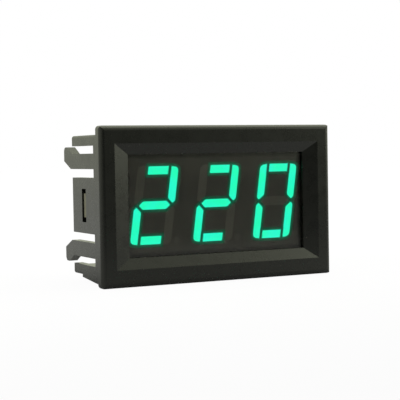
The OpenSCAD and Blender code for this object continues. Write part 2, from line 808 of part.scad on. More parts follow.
module microcontroller() color(epoxy_black)
    on_board(chip_at)
        difference() {
            moulded_body(chip_l, chip_w, chip_h, body_lift);
            translate([-chip_l / 2 + pin_mark_in, chip_w / 4, chip_h - pin_mark_d]) cylinder(r = pin_mark_r, h = past);
        }

module microcontroller_legs() color(tinned)
    on_board(chip_at)
        for (k = [0 : chip_legs - 1], turn = [0, 180])
            rotate([0, 0, turn])
                translate([(k - (chip_legs - 1) / 2) * leg_pitch, 0, 0]) rotate([0, 0, 90])
                    gull_leg(chip_w / 2 + touch, chip_reach / 2,
                             line_height(chip_h, body_lift) + leg_t / 2, leg_t, leg_w);

module bridge_rectifier() color(epoxy_black)
    on_board(bridge_at) rotate([0, 0, 90]) moulded_body(bridge_l, bridge_w, bridge_h, body_lift);

module bridge_rectifier_legs() color(tinned)
    on_board(bridge_at)
        for (turn = [0, 180], k = [-1, 1])
            rotate([0, 0, turn]) translate([0, k * leg_pitch, 0])
                gull_leg(bridge_w / 2 + touch, bridge_reach / 2,
                         line_height(bridge_h, body_lift) + leg_t / 2, leg_t, broad_leg_w);

module voltage_regulator() color(epoxy_black)
    on_board(regulator_at) rotate([0, 0, 90])
        moulded_body(regulator_l, regulator_w, regulator_h, tab_metal_t + touch);

module voltage_regulator_legs() color(tinned)
    on_board(regulator_at) {
        // heat tab under the body and out of one side
        translate([-regulator_w / 2 - tab_metal_out, -tab_metal_w / 2, 0])
            cube([regulator_w + tab_metal_out - end_draft, tab_metal_w, tab_metal_t]);
        for (k = [-1 : 1])
            translate([regulator_w / 2 - end_draft / 2, k * regulator_leg_pitch - leg_w / 2, 0])
                cube([regulator_leg_out, leg_w, tab_metal_t]);
    }

module digit_transistors() color(epoxy_black)
    for (p = transistor_at) on_board(p) moulded_body(transistor_l, transistor_w, transistor_h, small_lift);

module transistor_leg(turn)
    rotate([0, 0, turn])
        gull_leg(transistor_w / 2 + touch, transistor_reach / 2,
                 line_height(transistor_h, small_lift) + small_leg_t / 2, small_leg_t, leg_w);

module digit_transistor_legs() color(tinned)
    for (p = transistor_at) on_board(p) {
        for (k = [-1, 1]) translate([k * transistor_leg_pitch / 2, 0, 0]) transistor_leg(90);
        transistor_leg(-90);
    }

module segment_resistors() color([0.12, 0.12, 0.13])
    for (k = [0 : segment_resistor_count - 1])
        on_board([chip_at[0] + (k - (segment_resistor_count - 1) / 2) * segment_resistor_pitch,
                  segment_resistor_z])
            translate([-chip_resistor_w / 2, -chip_resistor_l / 2, 0])
                cube([chip_resistor_w, chip_resistor_l, chip_resistor_h]);

module chip_capacitors() color([0.62, 0.5, 0.36])
    for (p = chip_capacitor_at)
        on_board(p) translate([-chip_capacitor_l / 2, -chip_capacitor_w / 2, 0])
            cube([chip_capacitor_l, chip_capacitor_w, chip_capacitor_h]);

module diodes() color(epoxy_black)
    for (p = diode_at) on_board(p) rotate([0, 0, 90]) moulded_body(diode_w, diode_l, diode_h, small_lift);

module diode_tabs() color(tinned)
    for (p = diode_at, turn = [0, 180])
        on_board(p) rotate([0, 0, turn])
            gull_leg(diode_l / 2 + touch, diode_l / 2 + diode_tab_out,
                     line_height(diode_h, small_lift) + small_leg_t / 2, small_leg_t, diode_tab_w);

// ---- nodes ----

bezel_housing();
window_filter();
display_shell();
display_resin();
display_pins();
lit_bars(1);  // digit_1_lit_bars
lit_bars(2);  // digit_2_lit_bars
lit_bars(3);  // digit_3_lit_bars
dark_bars(1);  // digit_1_dark_bars
dark_bars(2);  // digit_2_dark_bars
dark_bars(3);  // digit_3_dark_bars
circuit_board();
display_solder_joints();
component_solder_joints();
film_capacitor();
film_capacitor_wires();
fusible_resistor();
fusible_resistor_wires();
electrolytic_can();
electrolytic_foot();
trimmer_housing();
trimmer_base();
trimmer_rotor();
trimmer_pins();
microcontroller();
microcontroller_legs();
bridge_rectifier();
bridge_rectifier_legs();
voltage_regulator();
voltage_regulator_legs();
digit_transistors();
digit_transistor_legs();
segment_resistors();
chip_capacitors();
diodes();
diode_tabs();
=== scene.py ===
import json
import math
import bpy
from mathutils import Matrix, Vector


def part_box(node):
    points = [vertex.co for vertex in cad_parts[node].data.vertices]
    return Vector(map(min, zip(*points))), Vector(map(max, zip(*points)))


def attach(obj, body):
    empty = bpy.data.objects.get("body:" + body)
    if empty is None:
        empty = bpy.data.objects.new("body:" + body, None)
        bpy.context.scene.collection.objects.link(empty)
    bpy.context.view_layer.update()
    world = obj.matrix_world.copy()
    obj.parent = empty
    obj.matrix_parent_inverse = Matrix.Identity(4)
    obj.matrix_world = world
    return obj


bl_info = {
    "name": "Digital panel meter",
    "version": (1, 0, 0),
    "blender": (4, 5, 0),
    "location": "View3D > Sidebar > Panel meter",
    "description": "Dresses a panel meter: housing, smoked window, lit digits and circuit board",
    "category": "Object",
}

import bpy
import numpy as np
from bpy.props import FloatProperty, FloatVectorProperty, PointerProperty
from mathutils import Matrix, Vector

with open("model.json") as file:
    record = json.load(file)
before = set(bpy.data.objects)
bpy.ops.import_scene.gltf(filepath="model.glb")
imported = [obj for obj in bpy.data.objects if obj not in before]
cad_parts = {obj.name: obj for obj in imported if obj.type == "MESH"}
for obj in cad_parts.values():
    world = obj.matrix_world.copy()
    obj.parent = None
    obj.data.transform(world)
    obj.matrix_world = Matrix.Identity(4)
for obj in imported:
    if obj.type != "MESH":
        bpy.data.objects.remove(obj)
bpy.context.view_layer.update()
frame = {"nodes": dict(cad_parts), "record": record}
MM = 0.001
X, Y, Z = 0, 1, 2

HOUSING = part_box("bezel_housing")
FRONT_Y = HOUSING[0].y                          # the bezel's front face
FLOOR_Z = HOUSING[0].z - 0.05 * MM              # just clear of the bezel's lower edge
BOARD_BACK_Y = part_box("circuit_board")[1].y     # the face that carries the parts
WIRE_HOLES = [mount["pos_m"] for mount in frame["record"]["mounts"] if mount["kind"] == "bore"]
DIGITS = (1, 2, 3)
SENSOR_W = 36.0                                 # width of the camera's sensor, in millimetres
WARM_GREY = (0.96, 1.0, 0.78)                   # tint of the lamps and of what the gloss mirrors


# ---------------------------------------------------------------- settings


def colour(name, description, default):
    """A colour that the user can change, as linear red, green and blue."""
    return FloatVectorProperty(
        name=name, description=description, default=default,
        min=0.0, max=1.0, size=3, subtype="COLOR",
    )


def share(name, description, default):
    """A number from 0 to 1 that the user can change."""
    return FloatProperty(
        name=name, description=description, default=default, min=0.0, max=1.0, subtype="FACTOR"
    )


def strength(name, description, default):
    """A brightness that the user can change, where 1 is plain white."""
    return FloatProperty(name=name, description=description, default=default, min=0.0)


def length(name, description, default):
    """A length in metres that the user can change."""
    return FloatProperty(
        name=name, description=description, default=default, min=0.0, unit="LENGTH", precision=5
    )


def power(name, description, default):
    """The power of a lamp, in watts."""
    return FloatProperty(
        name=name, description=description, default=default, min=0.0, unit="POWER"
    )


def angle(name, description, degrees):
    """An angle that the user can change, given here in degrees."""
    return FloatProperty(
        name=name, description=description, default=math.radians(degrees), subtype="ANGLE"
    )


class MeterStageSettings(bpy.types.PropertyGroup):
    """Camera, room, lamps and floor."""

    camera_place: FloatVectorProperty(
        name="Camera place",
        description="Place of the camera, counted from the middle of the bezel's front face",
        default=(-0.09917, -0.18569, 0.00897), size=3, subtype="TRANSLATION", unit="LENGTH",
    )
    camera_turn: angle("Camera turn", "How far the camera looks to the right of straight", 27.02)
    camera_tilt: angle("Camera tilt", "How far the camera looks up", -2.26)
    camera_roll: angle("Camera roll", "How far the camera leans to its left", -0.997)
    camera_lens: FloatProperty(
        name="Lens", description="Focal length of the camera", default=102.3, min=10.0,
        unit="CAMERA",
    )
    room_light: strength("Room light", "Brightness of the even light from all sides", 0.8)
    dark_room: share("Dark room", "Brightness of what the gloss mirrors straight in front", 0.08)
    top_power: power("Top light", "Power of the soft light above", 0.6)
    side_power: power("Side light", "Power of the soft light in front to the right", 0.32)
    back_power: power("Back light", "Power of the soft light behind to the left", 0.02)
    floor_colour: colour("Floor", "Colour of the floor under the meter", (0.45, 0.45, 0.445))
    # The floor's colour is a painted light pool: painted light well behind the meter and painted
    # shade well in front.
    floor_behind_painted_light: colour("Floor's painted light behind", "Colour of the floor well behind it", (0.78, 0.78, 0.77))
    floor_front_painted_shade: colour("Floor's painted shade in front", "Colour of the floor well in front", (0.1, 0.1, 0.1))


class MeterHousingSettings(bpy.types.PropertyGroup):
    """The one-piece moulded housing."""

    plastic: colour("Plastic", "Colour of the moulded housing", (0.0045, 0.0052, 0.0038))
    roughness: share("Roughness", "Roughness of the moulded housing", 0.28)
    grain_depth: length("Grain", "Depth of the moulded grain", 0.007 * MM)


class MeterDisplaySettings(bpy.types.PropertyGroup):
    """The window and the display block behind it."""

    smoke: colour("Smoke", "Tint of the window sheet", (0.76, 0.75, 0.73))
    lit: colour("Lit bars", "Colour of a lit bar", (0.004, 1.0, 0.50))
    lit_strength: strength("Lit bar strength", "Glow of a lit bar", 1.35)
    unlit: colour("Unlit bars", "Colour of an unlit bar", (0.165, 0.158, 0.146))
    face: colour("Display face", "Colour of the block's painted face", (0.102, 0.098, 0.093))
    # The spill settings and the lap shape the painted glow round each lit bar, which stands in for
    # the light it spills onto the face.
    spill: colour("Spilled light", "Colour of the light round a lit bar", (0.0, 0.095, 0.045))
    spill_reach: length("Spill reach", "How far from a lit bar its light is seen", 0.55 * MM)
    glow_film_lap: length("Glow film lap", "How far the glow film laps over a lit bar's edge", 0.1 * MM)
    # Painted shade along the display block's edges.
    edge_painted_shade: length("Edge painted shade", "Width of the painted shade band at the edge", 1.15 * MM)
    point_size: length("Point size", "Unlit bars smaller than this are decimal points", 1.6 * MM)


class MeterBoardSettings(bpy.types.PropertyGroup):
    """The circuit board, its copper and its solder."""

    mask: colour("Solder mask", "Colour of the board's lacquer", (0.012, 0.085, 0.03))
    laminate: colour("Laminate", "Colour of the board's cut edge", (0.24, 0.235, 0.16))
    copper: colour("Covered copper", "Colour of the lacquer over copper", (0.035, 0.17, 0.06))
    solder: colour("Solder", "Colour of the joints and pads", (0.66, 0.66, 0.64))
    track_height: length("Track height", "How far the copper stands out", 0.04 * MM)
    pad_inner: length("Pad inner radius", "Inner radius of a pad round a pin", 0.6 * MM)
    pad_outer: length("Pad outer radius", "Outer radius of a pad round a pin", 0.95 * MM)
    wire_pad_inner: length("Wire pad inner radius", "The same round a wire hole", 0.52 * MM)
    wire_pad_outer: length("Wire pad outer radius", "The same round a wire hole", 1.05 * MM)


class MeterPartsSettings(bpy.types.PropertyGroup):
    """Colours of the parts on the board."""

    film_case: colour("Film capacitor", "Colour of its dipped case", (0.62, 0.40, 0.035))
    can: colour("Can", "Colour of the electrolytic capacitor", (0.72, 0.73, 0.74))
    can_mark: colour("Can mark", "Colour of its negative side", (0.02, 0.02, 0.025))
    can_foot: colour("Can foot", "Colour of its foot", (0.018, 0.018, 0.018))
    trimmer_case: colour("Trimmer", "Colour of the trimmer's housing", (0.012, 0.07, 0.36))
    trimmer_base: colour("Trimmer base", "Colour of its ceramic base", (0.55, 0.5, 0.4))
    rotor: colour("Rotor", "Colour of the trimmer's rotor", (0.7, 0.69, 0.63))
    epoxy: colour("Epoxy", "Colour of the moulded chips", (0.014, 0.014, 0.015))
    tin: colour("Tin", "Colour of the pins, wires and legs", (0.74, 0.74, 0.71))
    chip_ends: colour("Chip ends", "Colour of the small parts' ends", (0.72, 0.72, 0.7))
    chip_resistor: colour("Segment resistors", "Colour of their tops", (0.012, 0.012, 0.014))
    chip_capacitor: colour("Chip capacitors", "Colour of their bodies", (0.36, 0.24, 0.13))


# ---------------------------------------------------------------- node helpers


def add(tree, kind, inputs=None, **settings):
    """Adds one node. Inputs are values or sockets, by name or number, and settings are the
    node's own properties."""
    node = tree.nodes.new(kind)
    for key, value in settings.items():
        setattr(node, key, value)
    for key, value in (inputs or {}).items():
        if isinstance(value, bpy.types.NodeSocket):
            tree.links.new(value, node.inputs[key])
        else:
            node.inputs[key].default_value = value
    return node


def rgba(c):
    """A colour as a socket takes it, with its alpha."""
    return (c[0], c[1], c[2], 1.0)


def scaled(c, k):
    """A colour made k times as bright."""
    return tuple(min(1.0, v * k) for v in c)


class Finish:
    """A material being built: its tree, its shader and the place on the piece in metres."""

    def __init__(self, name):
        self.material = bpy.data.materials.new(name)
        self.material.use_nodes = True
        self.tree = self.material.node_tree
        self.shader = self.tree.nodes["Principled BSDF"]
        self.place = add(self.tree, "ShaderNodeTexCoord").outputs["Object"]

    def set(self, **values):
        """Sets shader sockets by name, with underscores for spaces, to a value or a socket."""
        for key, value in values.items():
            socket = self.shader.inputs[key.replace("_", " ")]
            if isinstance(value, bpy.types.NodeSocket):
                self.tree.links.new(value, socket)
            else:
                socket.default_value = value

    def noise(self, size, detail=2.0, place=None):
        """Cloudy noise whose blobs are about size metres across. It is mostly 0.3 to 0.7."""
        inputs = {"Vector": place or self.place, "Scale": 1.0 / size, "Detail": detail}
        return add(self.tree, "ShaderNodeTexNoise", inputs).outputs["Fac"]

    def stretched(self, x, y, z):
        """The place with each axis multiplied, for patterns that run one way."""
        inputs = {"Vector": self.place, "Scale": (x, y, z)}
        return add(self.tree, "ShaderNodeMapping", inputs).outputs["Vector"]

    def spread(self, value, low=0.3, high=0.7, out_low=0.0, out_high=1.0):
        """Maps low..high to out_low..out_high and clamps. It starts as what noise needs."""
        inputs = {0: value, 1: low, 2: high, 3: out_low, 4: out_high}
        return add(self.tree, "ShaderNodeMapRange", inputs, clamp=True).outputs[0]

    def maths(self, kind, a, b=0.0):
        """One step of arithmetic, of the kind that the Math node names."""
        return add(self.tree, "ShaderNodeMath", {0: a, 1: b}, operation=kind).outputs[0]

    def blend(self, share_of_b, a, b):
        """Mixes colour a toward colour b. Each is a colour or a socket. A Mix node set to
        colours takes them on its inputs 6 and 7 and gives the result on its output 2."""
        a, b = (c if isinstance(c, bpy.types.NodeSocket) else rgba(c) for c in (a, b))
        inputs = {0: share_of_b, 6: a, 7: b}
        return add(self.tree, "ShaderNodeMix", inputs, data_type="RGBA").outputs[2]

    def clouded(self, clouds, base, shift):
        """A colour made darker and lighter by shift, as the clouds go from thin to thick."""
        return self.blend(self.spread(clouds), scaled(base, 1 - shift), scaled(base, 1 + shift))

    def axis(self, which):
        """One coordinate of the place, in metres."""
        return add(self.tree, "ShaderNodeSeparateXYZ", {0: self.place}).outputs[which]

    def facing(self, which):
        """How far the surface faces along one axis, from -1 to 1."""
        normal = add(self.tree, "ShaderNodeNewGeometry").outputs["True Normal"]
        return add(self.tree, "ShaderNodeSeparateXYZ", {0: normal}).outputs[which]

    def from_middle(self, which, middle):
        """How far the place lies from a middle along one axis, either way."""
        return self.maths("ABSOLUTE", self.maths("SUBTRACT", self.axis(which), middle))

    def bumped(self, height, depth, amount=1.0):
        """The material, with its surface raised by height (0 to 1) times depth metres."""
        inputs = {"Height": height, "Strength": amount, "Distance": depth}
        normal = add(self.tree, "ShaderNodeBump", inputs).outputs["Normal"]
        self.tree.links.new(normal, self.shader.inputs["Normal"])
        return self.material


def paint(material, *node_names):
    """Puts a material on CAD nodes, in every one of their slots."""
    for name in node_names:
        data = frame["nodes"][name].data
        if not data.materials:
            data.materials.append(material)
        for index in range(len(data.materials)):
            data.materials[index] = material


# ---------------------------------------------------------------- finishes


def specks(f, cell, radius, kept):
    """A mask of small round specks: one in each cell of about the given size, of which only the
    share kept is left."""
    inputs = {"Vector": f.place, "Scale": 1.0 / cell, "Randomness": 1.0}
    dots = add(f.tree, "ShaderNodeTexVoronoi", inputs).outputs
    near = f.spread(dots["Distance"], radius / cell * 0.6, radius / cell, 1.0, 0.0)
    lot = add(f.tree, "ShaderNodeSeparateXYZ", {0: dots["Color"]}).outputs[X]
    return f.maths("MULTIPLY", near, f.maths("GREATER_THAN", lot, 1.0 - kept))


def moulded_plastic(name, base, roughness, grain, depth, shift=0.12, dust=0.0):
    """Moulded plastic: faint clouds in its colour, a fine spark-eroded grain of the given size
    and depth, roughness that drifts, and a share of the dust that could lie on it."""
    cloud, drift = 6 * MM, 2.2 * MM
    dust_colour, dust_cover, dust_roughness = (0.34, 0.34, 0.31), 0.8, 0.85
    f = Finish(name)
    body = f.clouded(f.noise(cloud, 3.0), base, shift)
    rough = f.spread(f.noise(drift, 4.0), 0.25, 0.75, roughness - 0.05, roughness + 0.05)
    if dust > 0:
        mask = specks(f, cell=2.6 * MM, radius=0.13 * MM, kept=dust)
        body = f.blend(f.maths("MULTIPLY", mask, dust_cover), body, dust_colour)
        rough = f.maths("MAXIMUM", rough, f.maths("MULTIPLY", mask, dust_roughness))
    f.set(Base_Color=body, Roughness=rough, IOR=1.54)
    return f.bumped(f.noise(grain), depth, 0.6)


def metal(name, base, roughness, dull=0.12):
    """Bright metal with fine lines and a patchy film that dulls it."""
    f = Finish(name)
    lines = f.noise(0.25 * MM, 3.0)
    film = f.noise(1.2 * MM, 3.0)
    drawn = f.spread(lines, out_low=roughness - 0.06, out_high=roughness + 0.06)
    f.set(
        Base_Color=f.blend(f.spread(film, 0.35, 0.75), base, scaled(base, 1 - dull * 1.6)),
        Roughness=f.maths("ADD", drawn, f.spread(film, 0.4, 0.8, 0.0, dull)), Metallic=1.0,
    )
    return f.bumped(lines, 0.006 * MM, 0.5)


def smoked_sheet(name, tint):
    """Smoked clear sheet: tinted all through, with a very faint film of wiping marks."""
    f = Finish(name)
    wipes = f.noise(4 * MM, 3.0, place=f.stretched(0.35, 1.0, 1.6))
    rough = f.spread(wipes, 0.3, 0.8, 0.06, 0.1)
    f.set(Base_Color=rgba(tint), Roughness=rough, IOR=1.49, Transmission_Weight=1.0)
    return f.material


# ---------------------------------------------------------------- shapes


def solids_of(node_name):
    """The separate solids of a CAD node, as arrays of points. Points that share a place are one,
    and each triangle hands the lowest label among its corners to all three until no label
    changes."""
    mesh = frame["nodes"][node_name].data
    places = np.empty(len(mesh.vertices) * 3)
    mesh.vertices.foreach_get("co", places)
    places = places.reshape(-1, 3)
    mesh.calc_loop_triangles()
    corners = np.empty(len(mesh.loop_triangles) * 3, np.int32)
    mesh.loop_triangles.foreach_get("vertices", corners)
    unique, index = np.unique(np.round(places, 7), axis=0, return_inverse=True)
    corners = index.reshape(-1)[corners].reshape(-1, 3)
    label = np.arange(len(unique))
    while True:
        lowest = label[corners].min(axis=1)
        new = label.copy()
        for k in range(3):
            np.minimum.at(new, corners[:, k], lowest)
        new = new[new]
        if np.array_equal(new, label):
            break
        label = new
    return [unique[label == k] for k in np.unique(label)]


def grid_mesh(points, closed=False):
    """The points and faces of a grid, which is rows by columns by 3. Each square of neighbours
    is a face, and closed joins the last row to the first."""
    rows, cols = points.shape[:2]
    number = np.arange(rows * cols).reshape(rows, cols)
    a = number if closed else number[:-1]
    b = np.roll(number, -1, axis=0) if closed else number[1:]
    quads = np.stack([a[:, :-1], a[:, 1:], b[:, 1:], b[:, :-1]], axis=-1)
    return points.reshape(-1, 3), quads.reshape(-1, 4)


def build(name, parts):
    """Joins (points, faces) pairs into one object at the origin."""
    offset, points, faces = 0, [], []
    for part_points, part_faces in parts:
        points.append(part_points)
        faces += (part_faces + offset).tolist()
        offset += len(part_points)
    mesh = bpy.data.meshes.new(name)
    mesh.from_pydata(np.concatenate(points).tolist(), [], faces)
    mesh.validate()
    obj = bpy.data.objects.new(name, mesh)
    bpy.context.scene.collection.objects.link(obj)
    return obj


def dress(obj, body, material):
    """Gives a new piece its body and its finish."""
    obj.data.materials.append(material)
    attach(obj, body)


# ---------------------------------------------------------------- stage


class METER_OT_stage(bpy.types.Operator):
    """Sets up the camera, the white room, the soft lamps and the pale floor"""

    bl_idname = "meter.stage"
    bl_label = "Stage"

    def execute(self, context):
        s = context.scene.meter_stage
        self.camera(context, s)
        self.room(context, s)
        self.lamps(context, s)
        self.floor(s)
        context.scene.view_settings.view_transform = "Standard"
        return {"FINISHED"}

    def camera(self, context, s):
        """The camera looks along (sin turn cos tilt, cos turn cos tilt, sin tilt), and the roll
        turns its right and its up about that line."""
        data = bpy.data.cameras.new("camera")
        camera = bpy.data.objects.new("camera", data)
        context.scene.collection.objects.link(camera)
        data.sensor_width = SENSOR_W
        data.lens = s.camera_lens
        data.clip_start, data.clip_end = 0.01, 10.0
        turn, tilt, roll = s.camera_turn, s.camera_tilt, s.camera_roll
        level = Vector((math.sin(turn), math.cos(turn), 0.0))
        ahead = level * math.cos(tilt) + Vector((0.0, 0.0, math.sin(tilt)))
        right = Vector((math.cos(turn), -math.sin(turn), 0.0))
        up = right.cross(ahead)
        across = right * math.cos(roll) + up * math.sin(roll)
        above = up * math.cos(roll) - right * math.sin(roll)
        place = Vector(s.camera_place) + Vector((0.0, FRONT_Y, 0.0))
        turned = Matrix((across, above, -ahead)).transposed().to_4x4()
        camera.matrix_world = Matrix.Translation(place) @ turned
        context.scene.camera = camera

    def room(self, context, s):
        """White to the eye, and even and softer as a lamp. What the gloss mirrors is white too,
        except straight in front of the bezel, where a real room is darker than the sweep behind
        the object. The dark part fades with the angle from its middle, between two cosines."""
        dark_side = Vector((-0.03, -1.0, -0.15)).normalized()
        full_dark, full_light = 0.94, 0.34
        steepness, mirrored_white, least_light = 0.7, 0.93, 0.45
        world = bpy.data.worlds.new("white room")
        context.scene.world = world
        world.use_nodes = True
        tree = world.node_tree
        tree.nodes.clear()

        def ranged(value, **ends):
            """The value held between two ends, as a Map Range node gives it."""
            inputs = {name.replace("_", " "): end for name, end in ends.items()}
            inputs["Value"] = value
            return add(tree, "ShaderNodeMapRange", inputs, clamp=True).outputs[0]

        def glow(colour, brightness):
            """Even light of one colour, as the background."""
            inputs = {"Color": rgba(colour), "Strength": brightness}
            return add(tree, "ShaderNodeBackground", inputs).outputs[0]

        def chosen(by, others, own):
            """One light for a kind of ray, and the other for all other rays."""
            return add(tree, "ShaderNodeMixShader", {0: by, 1: others, 2: own}).outputs[0]

        side = add(tree, "ShaderNodeTexCoord").outputs["Generated"]
        toward = add(
            tree, "ShaderNodeVectorMath", {0: side, 1: dark_side}, operation="DOT_PRODUCT"
        ).outputs["Value"]
        away = ranged(toward, From_Min=full_dark, From_Max=full_light)
        rise = {0: away, 1: steepness}
        curve = add(tree, "ShaderNodeMath", rise, operation="POWER").outputs[0]
        mirrored = ranged(curve, To_Min=s.dark_room, To_Max=mirrored_white)
        even = ranged(curve, To_Min=least_light * s.room_light, To_Max=s.room_light)
        ray = add(tree, "ShaderNodeLightPath").outputs
        white, gloss = (1.0, 1.0, 1.0), glow(WARM_GREY, mirrored)
        seen = chosen(ray["Is Glossy Ray"], glow(white, even), gloss)
        seen = chosen(ray["Is Transmission Ray"], seen, gloss)
        seen = chosen(ray["Is Camera Ray"], seen, glow(white, 1.0))
        add(tree, "ShaderNodeOutputWorld", {"Surface": seen})

    def lamps(self, context, s):
        """Three soft squares that face the meter: a large one above, one in front to the right
        and one behind to the left."""
        for name, watts, side, place in (
            ("top light", s.top_power, 0.35, Vector((0.10, 0.04, 0.36))),
            ("side light", s.side_power, 0.22, Vector((0.32, -0.18, 0.13))),
            ("back light", s.back_power, 0.26, Vector((-0.15, 0.38, 0.01))),
        ):
            data = bpy.data.lights.new(name, "AREA")
            data.shape = "SQUARE"
            data.size = side
            data.energy = watts
            data.color = WARM_GREY
            lamp = bpy.data.objects.new(name, data)
            lamp.visible_camera = False
            context.scene.collection.objects.link(lamp)
            turned = place.to_track_quat("Z", "Y").to_matrix().to_4x4()
            lamp.matrix_world = Matrix.Translation(place) @ turned

    def floor(self, s):
        """A disc: its radius grows along the columns and its angle along the rows. It is lit,
        and a share of it is plain white to the eye, so that it joins the room and keeps a soft
        shadow. Its colour is a painted light pool: painted shade well in front and painted light
        well behind."""
        radius = np.array([0.0005, 0.1, 0.4, 1.5])[None, :]
        turn = np.linspace(0, 2 * math.pi, 64, endpoint=False)[:, None]
        flat = np.stack([radius * np.cos(turn), radius * np.sin(turn)], axis=-1)
        level = np.full(flat.shape[:2] + (1,), FLOOR_Z)
        floor = build("floor", [grid_mesh(np.concatenate([flat, level], axis=-1), closed=True)])
        f = Finish("pale floor")
        haze = f.spread(f.noise(90 * MM), out_high=0.04)
        # Painted light pool: the colour darkens to painted shade well in front and lightens well
        # behind.
        under = f.spread(f.axis(Y), -100 * MM, -16 * MM)
        behind = f.spread(f.axis(Y), 20 * MM, 90 * MM)
        pale = f.blend(haze, f.blend(behind, s.floor_colour, s.floor_behind_painted_light), s.floor_colour)
        f.set(
            Base_Color=f.blend(under, s.floor_front_painted_shade, pale),
            Roughness=0.9, Specular_IOR_Level=0.1,
        )
        share_white, white = 0.92, {"Color": (1.0, 1.0, 1.0, 1.0), "Strength": 1.04}
        seen = add(f.tree, "ShaderNodeLightPath").outputs["Is Camera Ray"]
        shown = add(f.tree, "ShaderNodeMixShader", {
            0: f.maths("MULTIPLY", seen, share_white), 1: f.shader.outputs[0],
            2: add(f.tree, "ShaderNodeEmission", white).outputs[0],
        })
        f.tree.links.new(shown.outputs[0], f.tree.nodes["Material Output"].inputs["Surface"])
        floor.data.materials.append(f.material)


# ---------------------------------------------------------------- housing and window


class METER_OT_housing(bpy.types.Operator):
    """Gives the one-piece housing its satin black moulded finish"""

    bl_idname = "meter.housing"
    bl_label = "Housing"

    def execute(self, context):
        s = context.scene.meter_housing
        satin = moulded_plastic(
            "satin black moulding", s.plastic, s.roughness,
            grain=0.22 * MM, depth=s.grain_depth, dust=0.05,
        )
        paint(satin, "bezel_housing")
        return {"FINISHED"}


class METER_OT_window(bpy.types.Operator):
    """Gives the window its smoked clear sheet"""

    bl_idname = "meter.window"
    bl_label = "Window"

    def execute(self, context):
        s = context.scene.meter_display
        paint(smoked_sheet("smoked sheet", s.smoke), "window_filter")
        return {"FINISHED"}


# ---------------------------------------------------------------- display


def outline_planes(points):
    """The sides of the smallest convex outline round a bar, seen from the front: its middle, the
    outward unit direction of each side and that side's distance from the middle. The outline is
    walked corner by corner, lower side then upper."""
    flat = np.unique(np.round(points[:, [X, Z]], 7), axis=0)
    middle = (flat.min(axis=0) + flat.max(axis=0)) / 2
    corners = []
    for order in (flat, flat[::-1]):
        walk = []
        for p in order:
            while len(walk) > 1 and np.cross(walk[-1] - walk[-2], p - walk[-2]) <= 1e-12:
                walk.pop()
            walk.append(p)
        corners += walk[:-1]
    corners = np.array(corners)
    side = np.roll(corners, -1, axis=0) - corners
    size = np.linalg.norm(side, axis=1)
    keep = size > 1e-6
    normals = np.stack([side[:, 1], -side[:, 0]], axis=-1)[keep] / size[keep, None]
    return middle, normals, ((corners[keep] - middle) * normals).sum(axis=1)


def ring(points, y, offsets, corner=24.0, turns=160):
    """A flat ring that follows a bar's outline at several offsets. Along the direction u from
    the middle, a side with the outward direction n and the distance h is met at
    (h + offset) / (n . u). The nearest is taken, softened by a power so that the corners are
    round: r = (sum of (n . u / (h + offset)) ^ corner) ^ (-1 / corner)."""
    middle, normals, reach = outline_planes(points)
    wide, high = np.ptp(points[:, X]), np.ptp(points[:, Z])
    t = np.linspace(0, 2 * math.pi, turns, endpoint=False)
    u = np.stack([np.cos(t) * wide, np.sin(t) * high], axis=-1)
    u /= np.linalg.norm(u, axis=1)[:, None]
    lean = np.maximum(u @ normals.T, 0.0)[:, None, :]
    near = (lean / (reach[None, None, :] + offsets[None, :, None])) ** corner
    r = near.sum(axis=-1) ** (-1.0 / corner)
    flat = middle[None, None, :] + u[:, None, :] * r[:, :, None]
    return np.stack([flat[..., 0], np.full(r.shape, y), flat[..., 1]], axis=-1)


